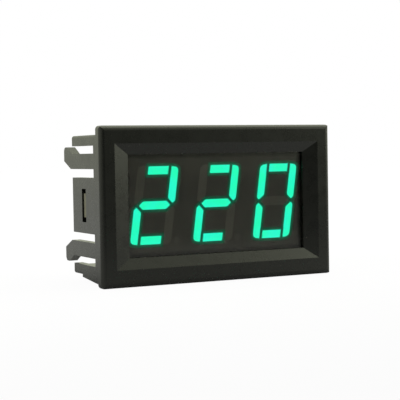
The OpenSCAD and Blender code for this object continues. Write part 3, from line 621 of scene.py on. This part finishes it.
class METER_OT_display(bpy.types.Operator):
    """Lights the bars, dulls the others and paints a glow round the lit ones for the light that
    spills into the face between them
    """

    bl_idname = "meter.display"
    bl_label = "Display"

    def execute(self, context):
        s = context.scene.meter_display
        paint(self.lit_bar(s), *(f"digit_{digit}_lit_bars" for digit in DIGITS))
        paint(self.unlit_bar(s), *(f"digit_{digit}_dark_bars" for digit in DIGITS))
        paint(self.face(s), "display_shell")
        paint(self.resin(), "display_resin")
        self.surround(s)
        return {"FINISHED"}

    def lit_bar(self, s):
        """Glowing resin, with clouds where the light is a little bluer."""
        f = Finish("lit bar")
        bluer = (s.lit[0] * 2.2, s.lit[1] * 0.97, s.lit[2] * 1.3)
        f.set(
            Base_Color=(0.02, 0.2, 0.12, 1.0), Roughness=0.35,
            Emission_Color=f.blend(f.spread(f.noise(3.5 * MM), 0.35, 0.65), s.lit, bluer),
            Emission_Strength=s.lit_strength,
        )
        return f.material

    def unlit_bar(self, s):
        """Milky resin with tiny pearls of diffuser. The decimal points, the only small solids
        among the unlit bars, are filled less full and look darker."""
        f = Finish("unlit bar")
        pearls = f.noise(0.12 * MM)
        body = f.clouded(pearls, s.unlit, 0.08)
        flat = {0: f.place, 1: (1.0, 0.0, 1.0)}
        seen = add(f.tree, "ShaderNodeVectorMath", flat, operation="MULTIPLY").outputs[0]
        for points in (p for d in DIGITS for p in solids_of(f"digit_{d}_dark_bars")):
            low, high = points.min(axis=0), points.max(axis=0)
            if (high - low)[[X, Z]].max() < s.point_size:
                middle = (low + high) / 2
                away = add(
                    f.tree, "ShaderNodeVectorMath", {0: seen, 1: (middle[X], 0.0, middle[Z])},
                    operation="DISTANCE",
                ).outputs["Value"]
                point = f.spread(away, 0.8 * MM, 0.9 * MM, 0.8, 0.0)
                body = f.blend(point, body, scaled(s.face, 1.05))
        f.set(Base_Color=body, Roughness=0.4, IOR=1.5)
        return f.bumped(pearls, 0.004 * MM)

    def face(self, s):
        """Grey matt paint with faint clouds. The shell's edges are moulded with a radius, and a
        band
        along them is darkened nearly to black: painted shade for the shadow at that edge and in
        the gap beside it."""
        f = Finish("display face")
        low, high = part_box("display_shell")
        middle, half = (low + high) / 2, (high - low) / 2
        inward = f.maths(
            "MINIMUM",
            f.maths("SUBTRACT", half.x, f.from_middle(X, middle.x)),
            f.maths("SUBTRACT", half.z, f.from_middle(Z, middle.z)),
        )
        waver = f.spread(f.noise(3 * MM), out_low=-0.12 * MM, out_high=0.12 * MM)
        # Where painted falls to 0 along the shell's edges, the colour goes nearly black: painted
        # shade for the shadow at the rounded edge and in the gap beside it.
        painted = f.spread(f.maths("ADD", inward, waver), s.edge_painted_shade * 0.45, s.edge_painted_shade)
        body = f.clouded(f.noise(5 * MM, 3.0), s.face, 0.1)
        f.set(
            Base_Color=f.blend(painted, scaled(s.face, 0.12), body), Roughness=0.75, IOR=1.45
        )
        return f.bumped(f.noise(0.15 * MM), 0.008 * MM)

    def surround(self, s):
        """A film just in front of the face round each lit bar, which laps over the bar's edge and
        glows dark green: painted glow, which stands in for the light that spills from the bar onto
        the face. Its offset attribute is the distance from the bar's edge, and it fades in over
        the bar and out at its reach."""
        lift, steps = 0.02 * MM, 9
        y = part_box("digit_1_lit_bars")[0].y - lift
        offsets = np.linspace(-s.glow_film_lap * 1.6, s.spill_reach, steps)
        bars = [points for d in DIGITS for points in solids_of(f"digit_{d}_lit_bars")]
        rings = [ring(points, y, offsets) for points in bars]
        film = build("lit_bar_painted_glow", [grid_mesh(grid, closed=True) for grid in rings])
        values = np.concatenate([np.broadcast_to(offsets, r.shape[:2]).reshape(-1) for r in rings])
        film.data.attributes.new("offset", "FLOAT", "POINT").data.foreach_set("value", values)
        f = Finish("painted spill glow")
        offset = add(f.tree, "ShaderNodeAttribute", attribute_name="offset").outputs["Fac"]
        inner = f.spread(offset, -s.glow_film_lap * 1.4, -s.glow_film_lap * 0.6)
        outer = f.spread(offset, s.spill_reach * 0.45, s.spill_reach, 1.0, 0.0)
        # Painted glow: dark green emission round the lit bar, standing in for its spilled light.
        f.set(
            Base_Color=(0.0, 0.01, 0.006, 1.0), Roughness=0.7,
            Alpha=f.maths("MULTIPLY", inner, outer), Emission_Strength=1.0,
            Emission_Color=f.blend(f.noise(0.6 * MM), scaled(s.spill, 0.85), s.spill),
        )
        dress(film, "meter", f.material)

    def resin(self):
        """Cast resin with a slightly wavy poured surface."""
        f = Finish("cast resin")
        waves = f.noise(3 * MM)
        f.set(
            Base_Color=f.blend(f.spread(waves), (0.5, 0.46, 0.36), (0.58, 0.54, 0.44)),
            Roughness=0.28, IOR=1.52,
        )
        return f.bumped(waves, 0.05 * MM)


# ---------------------------------------------------------------- board


# The copper on the board's back, in millimetres across and up from the board's middle. Most
# tracks run up or down, step sideways once and run on: their width, their start, the height of
# the step and their end.
STEPPED_TRACKS = (
    # segment resistors to the microcontroller's upper legs
    (0.3, (0.4, 4.1), 3.5, (-0.14, 2.9)),
    (0.3, (1.7, 4.1), 3.5, (1.13, 2.9)),
    (0.3, (3.0, 4.1), 3.5, (2.4, 2.9)),
    (0.3, (4.3, 4.1), 3.5, (3.67, 2.9)),
    (0.3, (5.6, 4.1), 3.5, (4.94, 2.9)),
    (0.3, (6.9, 4.1), 3.5, (6.21, 2.9)),
    (0.3, (8.2, 4.1), 3.5, (7.47, 2.9)),
    # the last upper leg to the chip capacitors
    (0.3, (8.74, 2.9), 3.6, (10.0, 8.9)),
    # segment resistors to the display's upper pins
    (0.3, (0.4, 6.2), 6.5, (-1.27, 7.0)),
    (0.3, (1.7, 6.2), 6.6, (1.27, 7.0)),
    (0.3, (4.3, 6.2), 6.6, (3.81, 7.0)),
    (0.3, (5.6, 6.2), 6.7, (5.08, 9.6)),
    (0.3, (6.9, 6.2), 6.6, (6.35, 7.0)),
    # the microcontroller's lower legs to the digit transistors and the display's lower pins
    (0.3, (1.13, -2.9), -3.35, (0.7, -3.8)),
    (0.3, (4.94, -2.9), -3.35, (4.5, -3.8)),
    (0.3, (8.74, -2.9), -3.35, (8.3, -3.8)),
    (0.3, (2.4, -2.9), -3.3, (2.6, -6.5), -6.5, (3.81, -7.0)),
    (0.3, (6.21, -2.9), -3.3, (6.4, -7.0)),
    (0.3, (-0.14, -2.9), -3.4, (-1.7, -6.2), -6.2, (-3.81, -7.0)),
    # digit transistors to the display's lower pins
    (0.3, (-0.25, -6.0), -6.5, (-1.27, -7.0)),
    (0.3, (1.65, -6.0), -6.5, (1.27, -7.0)),
)
# The other tracks: their width, then their turns.
TRACKS = (
    (0.3, (3.0, 6.2), (3.0, 6.7), (2.54, 6.7), (2.54, 9.0), (3.1, 9.0), (3.1, 9.5)),
    (0.3, (8.2, 6.2), (8.2, 9.4), (8.9, 9.4)),
    (0.3, (5.45, -6.0), (5.45, -6.5), (5.08, -6.5), (5.08, -9.95), (4.4, -9.95)),
    (0.3, (7.35, -6.0), (7.35, -7.62), (7.0, -7.62)),
    (0.6, (9.25, -6.0), (9.25, -10.3), (10.2, -10.3)),
    # the supply, from the wire holes to the can and the trimmer
    (1.1, (14.98, -9.6), (14.98, -3.9)),
    (0.9, (11.02, -9.6), (11.02, 4.4), (11.9, 4.4)),
    (0.7, (17.4, 5.39), (18.7, 5.39), (18.7, -10.3), (15.9, -10.3)),
    # the fusible resistor, the bridge rectifier, the regulator and the diodes
    (0.9, (-18.7, -6.9), (-18.7, 8.1)),
    (0.7, (-12.3, -7.33), (-11.9, -7.33), (-11.9, -8.6), (-11.1, -8.6)),
    (0.6, (-12.3, -9.87), (-11.6, -9.87), (-11.6, -10.7), (-7.0, -10.7), (-7.0, -9.95),
     (-4.4, -9.95)),
    (0.4, (-7.6, -8.6), (0.0, -8.6), (0.0, -9.95)),
    (0.4, (-0.9, -9.95), (0.9, -9.95)),
    (0.4, (-7.6, -7.1), (-7.0, -7.1)),
    # the chip capacitors, the trimmer's middle lead and the microcontroller's left end
    (0.5, (-6.7, 8.7), (-5.6, 8.7), (-5.6, 9.95), (-5.0, 9.95)),
    (0.5, (-3.0, 9.95), (-1.0, 9.95)),
    (0.5, (1.0, 9.95), (3.0, 9.95)),
    (0.5, (5.0, 9.95), (10.6, 9.95), (10.6, 7.81), (11.6, 7.81)),
    (0.4, (-3.81, 6.95), (-3.81, 6.0), (-2.0, 6.0), (-2.0, 0.8), (-1.0, 0.8)),
    (0.4, (-6.35, 6.95), (-6.35, 5.4), (-2.7, 5.4), (-2.7, -1.0), (-1.0, -1.0)),
)


def all_tracks():
    """Each track's width and turns, with the stepped ones written out."""
    for width, start, *steps in STEPPED_TRACKS:
        path, x = [start], start[0]
        for height, end in zip(steps[::2], steps[1::2]):
            path += [(x, height), (end[0], height)]
            x = end[0]
        yield width, path + [steps[-1]]
    for width, *path in TRACKS:
        yield width, path


def turns_of(path, cut=0.4):
    """A path's points with each corner cut at 45 degrees, at most half the way along either
    side. All are in millimetres."""
    path = np.array(path)
    points = [path[0]]
    for before, corner, after in zip(path[:-2], path[1:-1], path[2:]):
        for other in (before, after):
            far = np.linalg.norm(other - corner)
            points.append(corner + (other - corner) / far * min(cut, far * 0.48))
    return np.array(points + [path[-1]])


def ribbon(path, width, height, y):
    """A low bank of copper along a path on the back face y. Across the path its four edges lie
    at -1, -k, k and 1 half widths, the middle two raised by the height. At a turn they move out
    along the mean of both normals, divided by its length squared. Both ends slope to the face."""
    step = np.diff(path, axis=0)
    step /= np.linalg.norm(step, axis=1)[:, None]
    normal = np.stack([step[:, 1], -step[:, 0]], axis=-1)
    mean = np.concatenate([normal[:1], (normal[1:] + normal[:-1]) / 2, normal[-1:]])
    mean /= (mean**2).sum(axis=1)[:, None]
    slope = 1 - 2 * height / width
    across = np.array([-1.0, -slope, slope, 1.0]) * width / 2
    flat = path[:, None, :] + mean[:, None, :] * across[None, :, None]
    rise = np.broadcast_to(np.array([0.0, 1.0, 1.0, 0.0]) * height, flat.shape[:2])
    first, last = flat[:1] - step[0] * height, flat[-1:] + step[-1] * height
    flat = np.concatenate([first, flat, last])
    rise = np.pad(rise, ((1, 1), (0, 0)))
    return grid_mesh(np.stack([flat[..., 0], y + rise, flat[..., 1]], axis=-1))


def washer(x, z, inner, outer, height, y, turns=40):
    """A flat ring of copper round a hole: the profile climbs from the face at the inner edge,
    runs level and drops at the outer edge, and is turned about the hole's axis."""
    radius = np.array([inner, inner, outer - height, outer])
    rise = np.array([0.0, height, height, 0.0])
    t = np.linspace(0, 2 * math.pi, turns, endpoint=False)[:, None]
    level = np.broadcast_to(y + rise, (turns, 4))
    points = np.stack([x + radius * np.cos(t), level, z + radius * np.sin(t)], axis=-1)
    return grid_mesh(points, closed=True)


def feet(points, both_ends, height, y, beyond=0.25 * MM, wider=0.2 * MM):
    """The pad or pads under one leg or chip part: a bank run along its length, a little longer
    and wider than it. A part that is soldered at both ends has one under each."""
    low, high = points.min(axis=0)[[X, Z]], points.max(axis=0)[[X, Z]]
    size, middle = high - low, (high + low) / 2
    axis = int(size[1] > size[0])
    along = np.eye(2)[axis]
    reach, width = size[axis] / 2 + beyond, size[1 - axis] + wider
    spans = [(-reach, -reach / 2), (reach / 2, reach)] if both_ends else [(-reach, reach)]
    return [
        ribbon(np.stack([middle + along * a, middle + along * b]), width, height, y)
        for a, b in spans
    ]


class METER_OT_board(bpy.types.Operator):
    """Gives the board its lacquer and cut edges, the copper on its back, and its solder"""

    bl_idname = "meter.board"
    bl_label = "Circuit board"

    def execute(self, context):
        s = context.scene.meter_board
        paint(self.laminate(s), "circuit_board")
        solder = metal("solder", s.solder, 0.24, dull=0.2)
        paint(solder, "display_solder_joints", "component_solder_joints")
        face = BOARD_BACK_Y - 0.003 * MM    # the copper starts just inside the board's face
        self.tracks(s, face)
        self.pads(s, face, solder)
        return {"FINISHED"}

    def laminate(self, s):
        """Lacquer over a faint weave on both faces, and bare glass cloth in plies at the edge."""
        f = Finish("lacquered board")
        weave = add(
            f.tree, "ShaderNodeTexWave",
            {"Vector": f.place, "Scale": 420.0, "Distortion": 0.6, "Detail": 1.0},
            wave_type="BANDS", bands_direction="DIAGONAL",
        ).outputs["Fac"]
        plies = add(
            f.tree, "ShaderNodeTexWave",
            {"Vector": f.stretched(0.02, 1.0, 0.02), "Scale": 1400.0, "Distortion": 1.2},
            wave_type="BANDS", bands_direction="Y",
        ).outputs["Fac"]
        flat = f.maths("GREATER_THAN", f.maths("ABSOLUTE", f.facing(Y)), 0.5)
        lacquer = f.clouded(f.noise(4 * MM, 3.0), s.mask, 0.15)
        cut = f.blend(plies, scaled(s.laminate, 0.8), scaled(s.laminate, 1.15))
        rough_cut, glossy_lacquer = 0.8, 0.3
        f.set(
            Base_Color=f.blend(flat, cut, lacquer), IOR=1.5,
            Roughness=f.spread(flat, 0.0, 1.0, rough_cut, glossy_lacquer),
        )
        return f.bumped(f.maths("MULTIPLY", weave, flat), 0.006 * MM)

    def tracks(self, s, face):
        """The copper tracks, which show through the lacquer."""
        tracks = build("board_tracks", [
            ribbon(turns_of(path) * MM, width * MM, s.track_height, face)
            for width, path in all_tracks()
        ])
        f = Finish("lacquered copper")
        film = f.noise(1.5 * MM, 3.0)
        rough = f.spread(film, out_low=0.24, out_high=0.34)
        f.set(Base_Color=f.clouded(film, s.copper, 0.15), Roughness=rough, IOR=1.5)
        dress(tracks, "meter", f.bumped(film, 0.008 * MM))

    def pads(self, s, face, solder):
        """Tinned pads round the joints and the wire holes and under the legs and chip parts."""
        pads = []
        for node in ("display_solder_joints", "component_solder_joints"):
            for points in solids_of(node):
                x, _, z = (points.min(axis=0) + points.max(axis=0)) / 2
                pads.append(washer(x, z, s.pad_inner, s.pad_outer, s.track_height, face))
        for x, _, z in WIRE_HOLES:
            pads.append(
                washer(x, z, s.wire_pad_inner, s.wire_pad_outer, s.track_height, face)
            )
        for both_ends, nodes in (
            (False, ("microcontroller_legs", "digit_transistor_legs", "diode_tabs",
                     "voltage_regulator_legs", "bridge_rectifier_legs")),
            (True, ("segment_resistors", "chip_capacitors")),
        ):
            for points in (p for node in nodes for p in solids_of(node)):
                pads += feet(points, both_ends, s.track_height, face)
        dress(build("board_pads", pads), "meter", solder)


# ---------------------------------------------------------------- parts on the board


class METER_OT_parts(bpy.types.Operator):
    """Finishes the wired parts, the trimmer and the surface-mounted parts"""

    bl_idname = "meter.parts"
    bl_label = "Parts on the board"

    def execute(self, context):
        s = context.scene.meter_parts
        self.capacitors(s)
        self.resistor()
        self.trimmer(s)
        self.chips(s)
        return {"FINISHED"}

    def capacitors(self, s):
        """A dipped yellow case, and a drawn can with a dark patch that marks one side of its
        top, on a black foot."""
        paint(
            moulded_plastic(
                "yellow case", s.film_case, 0.32, grain=0.6 * MM, depth=0.02 * MM, shift=0.05
            ),
            "film_capacitor",
        )
        paint(
            moulded_plastic("black foot", s.can_foot, 0.5, grain=0.2 * MM, depth=0.01 * MM),
            "electrolytic_foot",
        )
        f = Finish("aluminium can")
        low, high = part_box("electrolytic_can")
        mark_edge = (low.x + high.x) / 2 - 1.1 * MM
        top = f.maths("GREATER_THAN", f.facing(Y), 0.7)
        marked = f.maths("MULTIPLY", top, f.maths("LESS_THAN", f.axis(X), mark_edge))
        drawn = f.noise(0.3 * MM, 3.0, place=f.stretched(1.0, 0.05, 1.0))
        f.set(
            Base_Color=f.blend(marked, s.can, s.can_mark),
            Metallic=f.maths("SUBTRACT", 1.0, marked),
            Roughness=f.spread(drawn, out_low=0.22, out_high=0.36),
        )
        paint(f.bumped(drawn, 0.004 * MM), "electrolytic_can")

    def resistor(self):
        """Cement-coated body with four colour rings, each a range of X along the body."""
        ring_half = 0.035
        rings = (
            (0.2, (0.2, 0.06, 0.02)),
            (0.36, (0.01, 0.01, 0.01)),
            (0.5, (0.24, 0.07, 0.02)),
            (0.78, (0.55, 0.38, 0.1)),
        )
        low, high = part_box("fusible_resistor")
        f = Finish("banded resistor")
        along = f.spread(f.axis(X), low.x, high.x)
        body = f.blend(f.noise(0.8 * MM, 3.0), (0.10, 0.24, 0.19), (0.13, 0.29, 0.23))
        for place, ring_colour in rings:
            off = f.maths("ABSOLUTE", f.maths("SUBTRACT", along, place))
            body = f.blend(f.maths("LESS_THAN", off, ring_half), body, ring_colour)
        f.set(Base_Color=body, Roughness=0.42, IOR=1.5)
        paint(f.bumped(f.noise(0.5 * MM, 3.0), 0.02 * MM), "fusible_resistor")

    def trimmer(self, s):
        """Blue housing, ceramic base and white rotor."""
        for node, name, base, roughness, depth, shift in (
            ("trimmer_housing", "blue case", s.trimmer_case, 0.36, 0.01 * MM, 0.06),
            ("trimmer_base", "ceramic base", s.trimmer_base, 0.6, 0.01 * MM, 0.05),
            ("trimmer_rotor", "white rotor", s.rotor, 0.45, 0.008 * MM, 0.03),
        ):
            finish = moulded_plastic(
                name, base, roughness, grain=0.3 * MM, depth=depth, shift=shift
            )
            paint(finish, node)

    def chips(self, s):
        """Black epoxy bodies, tinned legs, pins and wires, and small parts with tinned ends."""
        epoxy = moulded_plastic(
            "black epoxy", s.epoxy, 0.55, grain=0.12 * MM, depth=0.012 * MM, shift=0.2
        )
        paint(
            epoxy, "microcontroller", "bridge_rectifier", "voltage_regulator",
            "digit_transistors", "diodes",
        )
        paint(
            metal("tinned wire", s.tin, 0.27), "display_pins", "film_capacitor_wires",
            "fusible_resistor_wires", "trimmer_pins", "microcontroller_legs",
            "bridge_rectifier_legs", "voltage_regulator_legs", "digit_transistor_legs",
            "diode_tabs",
        )
        self.end_tinned("segment_resistors", Z, s.chip_resistor, 0.22, s.chip_ends)
        self.end_tinned("chip_capacitors", X, s.chip_capacitor, 0.5, s.chip_ends)

    def end_tinned(self, node, axis, base, roughness, end_colour):
        """Chip parts with tinned ends: along its length each part is bare up to one share of that
        length from its middle, and tinned from there past its end. Parts in one row share their
        middle."""
        bare, past_end = 0.32, 0.6
        spans = [(p[:, axis].min(), p[:, axis].max()) for p in solids_of(node)]
        size = spans[0][1] - spans[0][0]
        f = Finish(node.replace("_", " "))
        tinned = 0.0
        for middle in sorted({round((low + high) / 2, 6) for low, high in spans}):
            off = f.from_middle(axis, middle)
            own = f.maths("LESS_THAN", off, size * past_end)
            tip = f.maths("MULTIPLY", own, f.maths("GREATER_THAN", off, size * bare))
            tinned = f.maths("MAXIMUM", tip, tinned)
        film = f.noise(0.4 * MM, 3.0)
        body = f.blend(film, scaled(base, 0.9), scaled(base, 1.1))
        f.set(
            Base_Color=f.blend(tinned, body, end_colour), Metallic=tinned,
            Roughness=f.spread(tinned, 0.0, 1.0, roughness, 0.28),
        )
        paint(f.bumped(film, 0.01 * MM), node)


# ---------------------------------------------------------------- panel and run


class METER_PT_panel(bpy.types.Panel):
    """Lists the meter's sizes and colours and its pieces"""

    bl_idname = "METER_PT_panel"
    bl_label = "Panel meter"
    bl_space_type = "VIEW_3D"
    bl_region_type = "UI"
    bl_category = "Panel meter"

    def draw(self, context):
        for group in GROUPS:
            settings = getattr(context.scene, group)
            for name in settings.bl_rna.properties.keys():
                if name not in ("rna_type", "name"):
                    self.layout.prop(settings, name)
        for step in STEPS:
            self.layout.operator(step.bl_idname)


GROUPS = {
    "meter_stage": MeterStageSettings,
    "meter_housing": MeterHousingSettings,
    "meter_display": MeterDisplaySettings,
    "meter_board": MeterBoardSettings,
    "meter_parts": MeterPartsSettings,
}
STEPS = (
    METER_OT_stage, METER_OT_housing, METER_OT_window,
    METER_OT_display, METER_OT_board, METER_OT_parts,
)


def register():
    """Adds the settings, the operators and the panel."""
    for name, group in GROUPS.items():
        bpy.utils.register_class(group)
        setattr(bpy.types.Scene, name, PointerProperty(type=group))
    for cls in (*STEPS, METER_PT_panel):
        bpy.utils.register_class(cls)


def unregister():
    """Takes them away again, in the opposite order."""
    for cls in reversed((*STEPS, METER_PT_panel)):
        bpy.utils.unregister_class(cls)
    for name, group in GROUPS.items():
        delattr(bpy.types.Scene, name)
        bpy.utils.unregister_class(group)


def main():
    """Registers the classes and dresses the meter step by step."""
    register()
    for step in STEPS:
        space, name = step.bl_idname.split(".")
        getattr(getattr(bpy.ops, space), name)()


if __name__ == "__main__":
    main()
